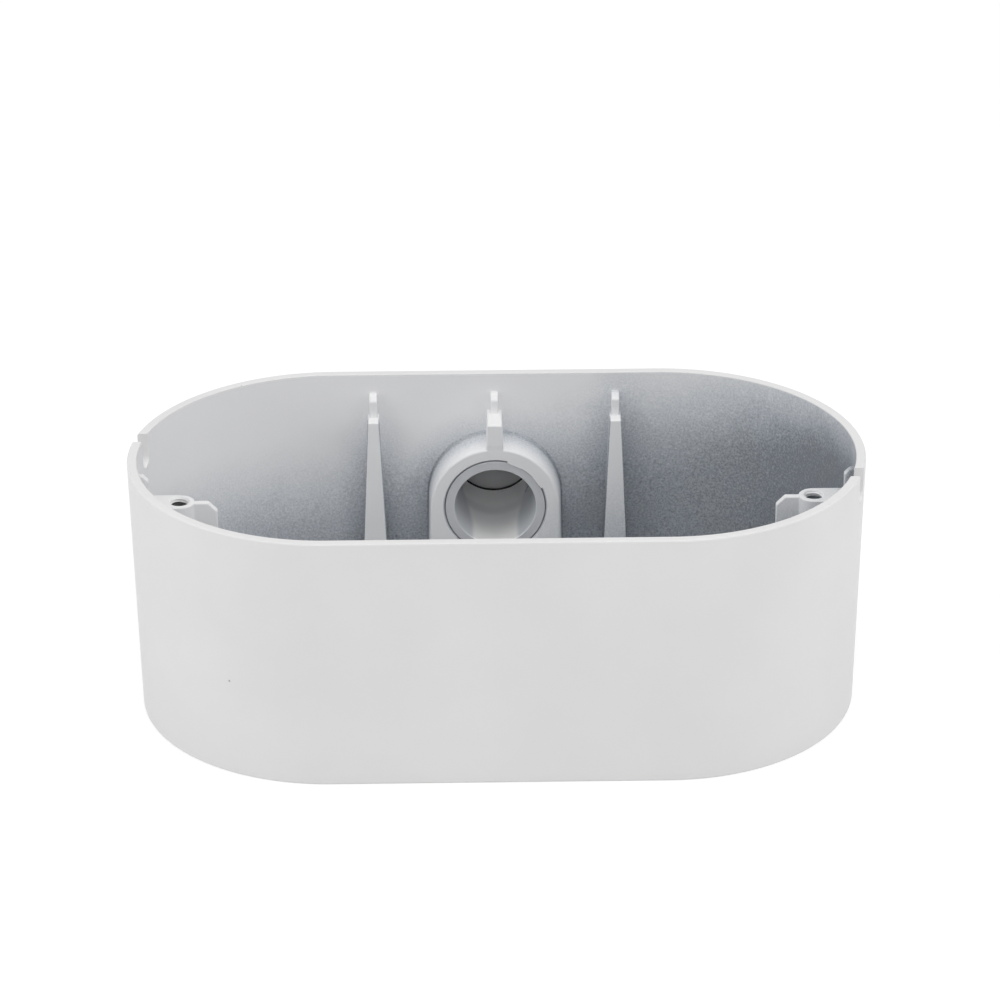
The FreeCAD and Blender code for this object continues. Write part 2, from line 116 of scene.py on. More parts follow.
def select(piece: Piece, element: Element, wanted: Callable[..., bool]) -> int:
    """Selects parts of a piece in edit mode by a test on each.

    Args:
        piece: the mesh object in edit mode.
        element: vertices, edges or faces.
        wanted: True for each part to select.

    Returns:
        How many were selected.
    """
    mesh = bmesh.from_edit_mesh(piece.data)
    mesh.normal_update()
    parts = {Element.VERTICES: mesh.verts, Element.EDGES: mesh.edges, Element.FACES: mesh.faces}
    chosen = [part for part in parts[element] if wanted(part)]
    for part in chosen:
        part.select_set(True)
    mesh.select_flush_mode()
    bmesh.update_edit_mesh(piece.data)
    return len(chosen)


def move_vertices(piece: Piece, moved: Callable[[Vector], Vector]) -> None:
    """Moves the vertices of a piece, in their order.

    Args:
        piece: the mesh object.
        moved: a vertex's new place, from its old one.
    """
    with editing(piece, Element.VERTICES):
        mesh = bmesh.from_edit_mesh(piece.data)
        for vertex in mesh.verts:
            vertex.co = moved(vertex.co)
        bmesh.update_edit_mesh(piece.data)


def rotate(turn: float, axis: str, centre: Point) -> None:
    """Turns what is selected in edit mode, by radians, round an axis through a centre."""
    bpy.ops.transform.rotate(value=turn, orient_axis=axis, orient_type="GLOBAL", center_override=centre)


def new_piece(name: str) -> Piece:
    """Names the object that an operator has just made and puts its place into its mesh.

    Args:
        name: the piece's name.

    Returns:
        The object, at the origin, unturned and unscaled.
    """
    piece = bpy.context.active_object
    piece.name = name
    piece.data.name = name
    choose(piece)
    bpy.ops.object.transform_apply(location=True, rotation=True, scale=True)
    return piece


def add_block(name: str, low: Point, high: Point) -> Piece:
    """A block between two corners given in millimetres.

    Args:
        name: the piece's name.
        low: its lowest corner.
        high: its highest corner.

    Returns:
        The new object.
    """
    bpy.ops.object.select_all(action="DESELECT")
    middle = [(a + b) / 2 for a, b in zip(low, high)]
    size = [(b - a) for a, b in zip(low, high)]
    bpy.ops.mesh.primitive_cube_add(size=1.0, location=middle, scale=size)
    return new_piece(name)


def add_rod(name: str, foot: Point, length: float, radius: float, sides: int = 96,
            along: Along = Along.UP, end_radius: float | None = None) -> Piece:
    """A rod or cone, given in millimetres.

    Args:
        name: the piece's name.
        foot: the centre of its first end.
        length: how far it reaches along its axis.
        radius: the radius at its first end.
        sides: how many flats it has.
        along: the axis.
        end_radius: the radius at its far end, if it differs.

    Returns:
        The new object.
    """
    bpy.ops.object.select_all(action="DESELECT")
    bpy.ops.mesh.primitive_cone_add(
        vertices=sides,
        radius1=radius,
        radius2=(radius if end_radius is None else end_radius),
        depth=length,
        location=Vector(foot) + Vector(along.value) * (length / 2),
        rotation=(0, 0, 0) if along is Along.UP else (-math.pi / 2, 0, 0),
    )
    return new_piece(name)


def add_outline(name: str, points: Sequence[Point], closed: bool = True) -> Piece:
    """A line through points given in millimetres, from a ring of as many points.

    Args:
        name: the piece's name.
        points: the corners in order.
        closed: whether the last corner joins the first.

    Returns:
        The new object.
    """
    bpy.ops.object.select_all(action="DESELECT")
    bpy.ops.mesh.primitive_circle_add(vertices=len(points), radius=1.0, fill_type="NOTHING")
    piece = new_piece(name)
    places = iter(points)
    move_vertices(piece, lambda _: Vector(next(places)))
    if not closed:
        ends = {0, len(points) - 1}
        with editing(piece, Element.EDGES):
            select(piece, Element.EDGES, lambda edge: {v.index for v in edge.verts} == ends)
            bpy.ops.mesh.delete(type="EDGE")
    return piece


def pull(piece: Piece, reach: Point, growth: Point = (1, 1, 1), centre: Point = (0, 0, 0)) -> None:
    """Fills an outline and pulls the face out into a solid.

    Args:
        piece: the outline.
        reach: how far the face is pulled.
        growth: how much larger the far end is along each axis.
        centre: the point from which it grows.
    """
    fill(piece)
    with editing(piece, everything=True):
        bpy.ops.mesh.extrude_region_move(TRANSFORM_OT_translate={"value": reach})
        bpy.ops.transform.resize(value=growth, center_override=centre)
    tidy_mesh(piece)


def fill(piece: Piece) -> None:
    """Fills an outline with one face."""
    with editing(piece, Element.EDGES, everything=True):
        bpy.ops.mesh.edge_face_add()


def arc(steps: int, turn: float, radius: float) -> list[Range]:
    """The points of an arc round zero, across and up, that starts at the right and turns by some radians."""
    turns = (turn * step / steps for step in range(steps + 1))
    return [(radius * math.cos(at), radius * math.sin(at)) for at in turns]


def round_corners(piece: Piece, places: dict[Point, float], segments: int) -> None:
    """Rounds corners of an outline.

    Args:
        piece: the outline.
        places: each corner with the radius of its rounding, in millimetres.
        segments: how many steps a rounding has.
    """
    for corner, radius in places.items():
        with editing(piece, Element.VERTICES):
            spot = Vector(corner)
            select(piece, Element.VERTICES, lambda v: (v.co - spot).length < WELD)
            bpy.ops.mesh.bevel(offset=radius, segments=segments, affect="VERTICES", clamp_overlap=False)


def bevel_edges(piece: Piece, wanted: Callable[..., bool], width: float, segments: int = 3) -> None:
    """Rounds or chamfers the edges of a piece that a test picks out.

    Args:
        piece: the mesh object.
        wanted: True for each edge to round.
        width: the width in millimetres.
        segments: one for a chamfer, more for a round.
    """
    with editing(piece, Element.EDGES):
        if select(piece, Element.EDGES, wanted):
            bpy.ops.mesh.bevel(offset=width, segments=segments, profile=0.5, affect="EDGES", clamp_overlap=False)


def combine(piece: Piece, cut: Cut, *others: Piece) -> None:
    """Joins solids to a piece, or cuts them out of it, and removes them.

    Args:
        piece: the solid that is kept.
        cut: what is done.
        others: the solids that act on it at once, apart from each other.
    """
    if len(others) > 1:
        choose(others[0])
        for other in others:
            other.select_set(True)
        bpy.ops.object.join()
    choose(piece)
    modifier = piece.modifiers.new("combine", "BOOLEAN")
    modifier.operation = cut.value
    modifier.solver = "MANIFOLD"
    modifier.object = others[0]
    bpy.ops.object.modifier_apply(modifier=modifier.name)
    bpy.data.objects.remove(others[0], do_unlink=True)


def copied(piece: Piece, move: Point = (0, 0, 0), turned: bool = False) -> Piece:
    """A copy of a piece with its own mesh.

    Args:
        piece: what is copied.
        move: how far the copy is moved, in millimetres.
        turned: whether it is first turned half round the box's middle.

    Returns:
        The copy.
    """
    choose(piece)
    bpy.ops.object.duplicate(linked=False)
    twin = bpy.context.active_object
    twin.location = move
    twin.rotation_euler.z = math.pi if turned else 0.0
    return new_piece(piece.name + "_copy")


def face_angle(edge: Edge) -> float:
    """How sharply two faces turn at an edge, in degrees: above zero outwards, below zero inwards."""
    return math.degrees(edge.calc_face_angle_signed(0.0)) if len(edge.link_faces) == 2 else 0.0


def middle_of(edge: Edge) -> Vector:
    """The middle of an edge, in millimetres."""
    return (edge.verts[0].co + edge.verts[1].co) / 2


def tidy_mesh(piece: Piece) -> None:
    """Welds doubles, dissolves what has no length and turns all faces outwards.

    Args:
        piece: the mesh object.
    """
    with editing(piece, Element.VERTICES, everything=True):
        bpy.ops.mesh.remove_doubles(threshold=WELD)
        bpy.ops.mesh.dissolve_degenerate(threshold=WELD)
        bpy.ops.mesh.select_all(action="SELECT")
        bpy.ops.mesh.normals_make_consistent(inside=False)


def smooth(piece: Piece) -> None:
    """Shades a piece smooth, apart from its sharp edges.

    Args:
        piece: the mesh object.
    """
    choose(piece)
    bpy.ops.object.shade_smooth_by_angle(angle=math.radians(SMOOTH_TURN))
    modifier = piece.modifiers.new("even_normals", "WEIGHTED_NORMAL")
    modifier.keep_sharp = True
    modifier.weight = NORMAL_WEIGHT
    bpy.ops.object.modifier_apply(modifier=modifier.name)


def lathe(name: str, profile: Sequence[Point], centre: Point, along: Along = Along.BACK, steps: int = 96) -> Piece:
    """A round solid, spun from half of its section.

    Args:
        name: the piece's name.
        profile: corners in order, each as its radius, its place along the axis and its rounding, in millimetres.
        centre: the axis's zero point.
        along: the axis.
        steps: how many flats it has.

    Returns:
        The new object.
    """
    x, y, z = centre
    corners = [(x + r, y + t * along.value[1], z + t * along.value[2]) for r, t, _ in profile]
    on_axis = profile[0][0] == 0 and profile[-1][0] == 0
    piece = add_outline(name, corners, closed=not on_axis)
    round_corners(piece, {corner: item[2] for corner, item in zip(corners, profile) if item[2] > 0}, 3)
    with editing(piece, Element.EDGES, everything=True):
        bpy.ops.mesh.spin(steps=steps, angle=math.tau, center=Vector(centre), axis=along.value)
    tidy_mesh(piece)
    return piece


def hexagon(name: str, foot: Point, length: float, flats: float, chamfer: float) -> Piece:
    """A hexagonal length along the entry's axis, its corners taken off at the far end.

    Args:
        name: the piece's name.
        foot: the middle of its first end.
        length: how long it is.
        flats: its width across the flats.
        chamfer: how far in from the corners the cut reaches.

    Returns:
        The new object.
    """
    edge_round = 0.35
    corner = flats / math.sqrt(3)
    piece = add_rod(name, foot, length, corner, 6, Along.BACK)
    with editing(piece, everything=True):
        rotate(math.pi / 6, "Y", foot)
    bevel_edges(piece, lambda e: abs(e.verts[0].co.y - e.verts[1].co.y) > 1, edge_round)
    wide, start = corner + 2, length - (chamfer + 2) / math.sqrt(3)
    cone = lathe("corner_cut", [
        (0, -1, 0), (wide, -1, 0), (wide, start, 0), (corner - chamfer, length, 0),
        (corner - chamfer, length + 1, 0), (0, length + 1, 0),
    ], foot, steps=72)
    combine(piece, Cut.KEEP_SHARED, cone)
    return piece


class Field:
    """A number or colour over a surface: a node's socket, with arithmetic that adds Math nodes."""

    def __init__(self, nodes: "Nodes", socket: Socket) -> None:
        """Keeps the socket and the tree that it stands in."""
        self.nodes, self.socket = nodes, socket

    def __add__(self, other: Value) -> "Field":
        """The sum."""
        return self.nodes.math("ADD", self, other)

    def __sub__(self, other: Value) -> "Field":
        """The difference."""
        return self.nodes.math("SUBTRACT", self, other)

    def __rsub__(self, other: Value) -> "Field":
        """The difference from a plain number."""
        return self.nodes.math("SUBTRACT", other, self)

    def __mul__(self, other: Value) -> "Field":
        """The product."""
        return self.nodes.math("MULTIPLY", self, other)

    def __truediv__(self, other: Value) -> "Field":
        """The quotient."""
        return self.nodes.math("DIVIDE", self, other)

    def __gt__(self, other: Value) -> "Field":
        """1 where it is greater, and 0 elsewhere."""
        return self.nodes.math("GREATER_THAN", self, other)

    def __lt__(self, other: Value) -> "Field":
        """1 where it is less, and 0 elsewhere."""
        return self.nodes.math("LESS_THAN", self, other)

    def __abs__(self) -> "Field":
        """The size without the sign."""
        return self.nodes.math("ABSOLUTE", self)


class Nodes:
    """The nodes of a material or of the world, built one at a time."""

    def __init__(self, owner: bpy.types.Material | bpy.types.World, output: str = "OutputMaterial") -> None:
        """Empties the owner's tree, apart from an output.

        Args:
            owner: the material or world.
            output: the output node's kind.
        """
        owner.use_nodes = True
        self.tree = owner.node_tree
        self.tree.nodes.clear()
        self.output = self.tree.nodes.new("ShaderNode" + output)

    def feed(self, socket: Socket, value: Value) -> None:
        """Links a field to a socket, or sets the socket to a number or colour.

        Args:
            socket: the socket.
            value: what goes into it.
        """
        if isinstance(value, Field):
            self.tree.links.new(value.socket, socket)
        else:
            socket.default_value = (*value, 1.0) if socket.type == "RGBA" else value

    def node(self, kind: str, inputs: dict[str | int, Value] | None = None, output: str | int = 0,
             **options: object) -> Field:
        """Adds a node.

        Args:
            kind: the node's type, after the words ShaderNode.
            inputs: what goes into its sockets, by name or place.
            output: the socket that is wanted from it.
            options: its settings.

        Returns:
            The field at that socket.
        """
        node = self.tree.nodes.new("ShaderNode" + kind)
        for option, value in options.items():
            setattr(node, option, value)
        for key, value in (inputs or {}).items():
            self.feed(node.inputs[key], value)
        return Field(self, node.outputs[output])

    def math(self, operation: str, first: Value, second: Value = 0.0, clamp: bool = False) -> Field:
        """A step of arithmetic on numbers or fields, held between 0 and 1 where it is clamped."""
        return self.node("Math", {0: first, 1: second}, operation=operation, use_clamp=clamp)

    def length(self, one: Field, other: Field) -> Field:
        """The length of two distances at a right angle."""
        return self.math("SQRT", one * one + other * other)

    def ramp(self, value: Value, start: float, end: float, low: Value = 0.0, high: Value = 1.0) -> Field:
        """A smooth change from low to high as a value goes from start to end."""
        numbers = dict(enumerate((value, start, end, low, high)))
        return self.node("MapRange", numbers, interpolation_type="SMOOTHSTEP")

    def blend(self, share: Value, one: Value, other: Value) -> Field:
        """A mix of two colours by a share of the second."""
        return self.node("Mix", {0: share, 6: one, 7: other}, 2, data_type="RGBA")

    def mixed(self, share: Field, one: Field, other: Field) -> Field:
        """A mix of two shaders by a share of the second."""
        return self.node("MixShader", {0: share, 1: one, 2: other})

    def seen_rays(self) -> Field:
        """A share that is 1 for rays that the eye or a mirror sees, and 0 for those that carry light."""
        rays = [self.node("LightPath", output=f"Is {kind} Ray") for kind in ("Camera", "Glossy", "Transmission")]
        return self.math("MAXIMUM", self.math("MAXIMUM", rays[0], rays[1]), rays[2])

    def show(self, shader: Field) -> None:
        """Makes a shader the one that is seen."""
        self.feed(self.output.inputs["Surface"], shader)


class Surface(Nodes):
    """The nodes of a finish, with its main shader and its places on the piece."""

    def __init__(self, name: str) -> None:
        """Starts a material with its main shader.

        Args:
            name: the material's name.
        """
        self.material = bpy.data.materials.new(name)
        super().__init__(self.material)
        shader = self.node("BsdfPrincipled")
        self.shader = shader.socket.node
        self.show(shader)
        self.place = self.node("TexCoord", output="Object")

    def noise(self, size: float, detail: float = 2.0, roughness: float = 0.5) -> Field:
        """Cloudy noise about 0.5.

        Args:
            size: the size of its spots, in millimetres.
            detail: how many finer layers it has.
            roughness: how strong these are.

        Returns:
            The noise.
        """
        scale = 1.0 / (size * MM)
        return self.node("TexNoise", {"Vector": self.place, "Scale": scale, "Detail": detail, "Roughness": roughness})

    def bump(self, height: Field, depth: float, strength: float) -> Field:
        """The surface's direction when a height from 0 to 1, so many millimetres deep, roughens it."""
        return self.node("Bump", {"Height": height, "Distance": depth * MM, "Strength": strength})

    def axes(self) -> tuple[Field, Field, Field]:
        """The place along each axis, in millimetres."""
        split = self.node("SeparateXYZ", {"Vector": self.place}).socket.node
        return tuple(Field(self, split.outputs[axis]) * (1.0 / MM) for axis in "XYZ")

    def finished(self, inputs: dict[str, Value]) -> bpy.types.Material:
        """Fills in the main shader.

        Args:
            inputs: what goes into its sockets, by name.

        Returns:
            The finished material.
        """
        for name, value in inputs.items():
            self.feed(self.shader.inputs[name], value)
        return self.material


@dataclass(frozen=True)
class PowderCoat:
    """Off-white satin powder coat with a fine orange peel."""

    name: str = "powder_coat"
    colour: Point = (0.722, 0.717, 0.717)
    shade: Point = (0.698, 0.693, 0.695)
    mark: Point = (0.38, 0.37, 0.36)
    marks: tuple[tuple[Point, float], ...] = (((-68.3, -44.1, 27.0), 0.22), ((-67.1, 43.5, 69.0), 0.08))
    mark_fade: float = 0.15
    cloud_size: float = 38.0
    peel_size: float = 0.55
    peel_depth: float = 0.02
    roughness: Range = (0.43, 0.55)

    def make(self) -> bpy.types.Material:
        """Builds the material, with a dark speck and a nick in the coat.

        Returns:
            The material.
        """
        nodes = Surface(self.name)
        axes = nodes.axes()
        colour = nodes.blend(nodes.ramp(nodes.noise(self.cloud_size, 3.0), 0.3, 0.7), self.colour, self.shade)
        for spot, radius in self.marks:
            x, y, z = (axis - place for axis, place in zip(axes, spot))
            near = nodes.ramp(nodes.length(nodes.length(x, y), z), radius, radius + self.mark_fade, 1.0, 0.0)
            colour = nodes.blend(near, colour, self.mark)
        peel = nodes.noise(self.peel_size, 3.0, 0.6)
        return nodes.finished({
            "Base Color": colour,
            "Roughness": nodes.ramp(peel, 0.3, 0.7, *self.roughness),
            "Specular IOR Level": 0.4,
            "Normal": nodes.bump(peel, self.peel_depth, 0.5),
        })


@dataclass(frozen=True)
class ThinCoatAndShade:
    """The inside of the casting: full coat near the rim and on raised faces, thin overspray on bare metal below.

    The coat ends lower at the left end than at the right one. Beside the ribs and the boss its edge rises as painted
    shade, and the boss's arched side near the wall and the ribs' sides get painted shade too. Lengths are in
    millimetres, and a range is where a change starts and ends.
    """

    name: str = "thin_coat_and_shade"
    coat: Point = (0.79, 0.79, 0.795)
    veil: Point = (0.462, 0.503, 0.556)
    metal: Point = (0.197, 0.213, 0.236)
    warm_metal: Point = (0.205, 0.21, 0.216)
    # painted shade: the near-black colour inside the left screw hole
    hole: Point = (0.09, 0.09, 0.092)
    machined: Point = (0.5, 0.51, 0.535)
    edge_places: Range = (-45.0, 112.0)
    edge_heights: Range = (31.0, 69.5)
    fade_places: Range = (38.0, 98.0)
    fade_widths: Range = (23.0, 12.0)
    bare_places: Range = (45.0, 85.0)
    least_coat_and_shade: Range = (0.26, 0.03)
    raised_range: Range = (0.8, 4.5)
    raised_fade: float = 8.0
    # painted shade beside the ribs and the boss: how high it rises, how that changes along the box, and how far it
    # reaches
    painted_rib_shade: float = 10.0
    painted_rib_shade_slope: float = -0.06
    painted_rib_shade_range: Range = (1.0, 11.0)
    painted_boss_shade: float = 6.5
    painted_boss_shade_slope: float = -0.3
    painted_boss_shade_range: Range = (0.0, 10.0)
    raised_gain: float = 36.0
    raised_gain_slope: float = -0.14
    cloud_size: float = 11.0
    cloud_height: float = 8.0
    # painted shade on the boss's arched side near the wall, and on the ribs' sides
    shaded_shares: Range = (0.4, 0.05)
    flank_shade_share: float = 0.75
    speckle_size: float = 0.55
    speckle_share: float = 2.1
    roughness: Range = (0.5, 0.64)

    def make(self) -> bpy.types.Material:
        """Builds the material.

        Returns:
            The material.
        """
        nodes = Surface(self.name)
        box = CastBox()
        x, y, z = nodes.axes()
        side, behind = abs(x), y > 0.0
        beyond = nodes.math("MAXIMUM", side - box.spine, 0.0)
        stand = z * box.lean + box.inner(0.0) - nodes.length(beyond, y)
        raised = nodes.ramp(stand, *self.raised_range)
        from_rib = abs(side - box.rib_pitch)
        above = nodes.math("MAXIMUM", z - ENTRY.height, 0.0)
        from_boss = nodes.length(x, above) - box.boss_radius

        # the height at which the coat ends, raised as painted shade beside the ribs and the boss, and how much of it is
        # left
        painted_rib_shade = (x * self.painted_rib_shade_slope + self.painted_rib_shade) * nodes.ramp(from_rib, *self.painted_rib_shade_range, 1.0, 0.0)
        painted_boss_shade = x * self.painted_boss_shade_slope + self.painted_boss_shade
        painted_boss_shade = painted_boss_shade * nodes.ramp(from_boss, *self.painted_boss_shade_range, 1.0, 0.0) * behind
        painted_shade = painted_rib_shade + nodes.math("MAXIMUM", painted_boss_shade, 0.0)
        edge = nodes.ramp(x, *self.edge_places, *self.edge_heights) + painted_shade * (1.0 - raised)
        edge = edge - raised * (x * self.raised_gain_slope + self.raised_gain)
        cloud = (nodes.noise(self.cloud_size, 3.0, 0.6) - 0.5) * self.cloud_height
        fade = raised * self.raised_fade + nodes.ramp(x, *self.fade_places, *self.fade_widths)
        # the coat's share over bare metal, darker and bluer towards the floor: partly thin overspray, partly painted
        # shade
        coat_and_shade = nodes.ramp((z + cloud - edge) / fade, -1.0, 1.0, nodes.ramp(x, *self.bare_places, *self.least_coat_and_shade))

        # painted shade on the boss's arched side near the wall and on the ribs' sides
        painted_arch_shade = nodes.ramp(stand, 1.5, box.boss_depth - 0.3, *self.shaded_shares) * behind
        painted_arch_shade = painted_arch_shade * nodes.ramp(from_boss, -0.4, -0.1) * nodes.ramp(from_boss, 0.7, 1.2, 1.0, 0.0)
        slope = math.tan(math.radians(box.rib_side_angle))
        past = from_rib + z * slope - (box.rib_width / 2 + box.rib_top * slope)
        painted_flank_shade = nodes.ramp(past, -0.3, -0.1) * nodes.ramp(past, 0.3, 0.5, 1.0, 0.0)
        painted_flank_shade = painted_flank_shade * (stand < box.rib_depth + 0.4) * raised * self.flank_shade_share
        coat_and_shade = nodes.math("SUBTRACT", coat_and_shade, painted_arch_shade + painted_flank_shade, clamp=True)

        # speckled, most where it is thin
        speckle = nodes.noise(self.speckle_size, 1.5, 0.7)
        grain = (speckle - 0.5) * ((1.02 - coat_and_shade) * (coat_and_shade + 0.3) * self.speckle_share)
        coat_and_shade = nodes.math("ADD", coat_and_shade, grain, clamp=True)
        metal = nodes.blend(nodes.ramp(nodes.noise(17.0, 3.0), 0.45, 0.65), self.metal, self.warm_metal)
        colour = nodes.blend(coat_and_shade, nodes.blend(coat_and_shade, metal, self.veil), nodes.blend(coat_and_shade, self.veil, self.coat))

        # the machined mouth, and the screw holes: bare metal in the right one and painted shade, near black, in the
        # left one
        by_mouth = nodes.length(x, z - ENTRY.height) < box.boss_radius - 2.0
        colour = nodes.blend(by_mouth * (y > ENTRY.boss_face + 0.06), colour, self.machined)
        in_hole = nodes.length(side - box.post_place, y) < box.thread_outer + 0.05
        in_hole = in_hole * (z < box.post_top - box.countersink - 0.7)
        return nodes.finished({
            "Base Color": nodes.blend(in_hole, colour, nodes.blend(x > 0.0, self.hole, self.metal)),
            "Metallic": coat_and_shade * -0.1 + 0.1,
            "Roughness": nodes.ramp(speckle, 0.3, 0.7, *self.roughness),
            "Normal": nodes.bump(speckle, 0.03, 0.6),
        })


@dataclass(frozen=True)
class TurnedAlloy:
    """Machined light alloy with fine turning marks round the entry's axis."""

    name: str
    colour: Point
    worn: Point
    # the bore's grey in the wedge along its bottom and beside it: painted light and painted shade
    bore: Point
    bore_side: Point
    roughness: float
    metallic: float
    # where the painted wedge of light starts and how wide it is at each end
    painted_wedge_start: float = 46.0
    painted_wedge_widths: Range = (6.0, 9.0)

    def make(self) -> bpy.types.Material:
        """Builds the material, with painted light in its bore: one grey in a wedge along the bottom that widens with
        depth, another on the sides, and painted shade at the sleeve's joint.

        Returns:
            The material.
        """
        nodes = Surface(self.name)
        x, y, z = nodes.axes()
        radius = nodes.length(x, z - ENTRY.height)
        rings = nodes.math("SINE", (radius + y) * 9.0)
        cloud = nodes.noise(6.0, 3.0, 0.6)
        outside = nodes.blend(rings * 0.06 + nodes.ramp(cloud, 0.3, 0.75), self.colour, self.worn)
        # painted light and shade in the bore: a wedge along the bottom that widens with depth, dimmed near the sleeve's
        # joint as painted shade
        past = abs(x) - nodes.ramp(y, self.painted_wedge_start, ENTRY.hub_end, *self.painted_wedge_widths)
        painted_joint_shade = nodes.ramp(abs(y - ENTRY.sleeve_end), 0.5, 4.0, 0.45, 1.0)
        painted_wedge = nodes.ramp(past, -0.7, 0.7, 1.0, 0.0) * painted_joint_shade
        in_bore = nodes.ramp(radius, ENTRY.bore_radius + 0.05, ENTRY.bore_radius + 0.3, 1.0, 0.0)
        in_bore = in_bore * (y < ENTRY.cap_face + 1.0)
        return nodes.finished({
            "Base Color": nodes.blend(in_bore, outside, nodes.blend(painted_wedge, self.bore_side, self.bore)),
            "Roughness": nodes.ramp(cloud, 0.2, 0.8, self.roughness - 0.03, self.roughness + 0.05),
            "Metallic": self.metallic,
        })


@dataclass(frozen=True)
class Rubber:
    """Dull moulded rubber with a fine grain."""

    name: str
    colour: Point
    dusty: Point
    grain_size: float = 0.4
    roughness: Range = (0.62, 0.8)

    def make(self) -> bpy.types.Material:
        """Builds the material.

        Returns:
            The material.
        """
        nodes = Surface(self.name)
        dust = nodes.noise(5.0, 4.0, 0.6)
        grain = nodes.noise(self.grain_size, 2.0, 0.6)
        return nodes.finished({
            "Base Color": nodes.blend(nodes.ramp(dust, 0.4, 0.8), self.colour, self.dusty),
            "Roughness": nodes.ramp(grain, 0.2, 0.8, *self.roughness),
            "Specular IOR Level": 0.3,
            "Normal": nodes.bump(grain, 0.02, 0.5),
        })


def grey(level: float) -> Point:
    """A grey of a level."""
    return (level, level, level)


def dress(piece: Piece, finishes: Sequence[object], slot: str, *nodes: str) -> Piece:
    """Shades a piece and gives it its finishes and its place in the frame.

    Args:
        piece: the mesh object.
        finishes: one finish for each of its material slots.
        slot: the name of the piece's material slot; not used.
        nodes: the CAD nodes that it stands for.

    Returns:
        The piece, shrunk from millimetres to metres.
    """
    smooth(piece)
    piece.scale = (MM, MM, MM)
    bpy.ops.object.transform_apply(location=True, rotation=True, scale=True)
    piece.data.materials.clear()
    for finish in finishes:
        piece.data.materials.append(finish.make())
    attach(piece, ROOT)
    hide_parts(*nodes)
    LOG.info("%s: %d faces", piece.name, len(piece.data.polygons))
    return piece


@dataclass(frozen=True)
class Entry:
    """Places along the cable entry's axis, which the pieces there share. Millimetres."""

    height: float = 34.5
    boss_face: float = 38.7966
    sleeve_face: float = 39.0966
    sleeve_end: float = 59.0966
    pad_face: float = 52.6966
    hub_foot: float = 54.1966
    cap_start: float = 63.9966
    hub_end: float = 71.6966
    cap_face: float = 72.6966
    cap_end: float = 75.696
    thread_radius: float = 13.335
    hole_radius: float = 13.385
    bore_radius: float = 10.9

    def at(self, y: float) -> Point:
        """The point of the axis at a distance behind the middle plane."""
        return (0.0, y, self.height)


ENTRY = Entry()


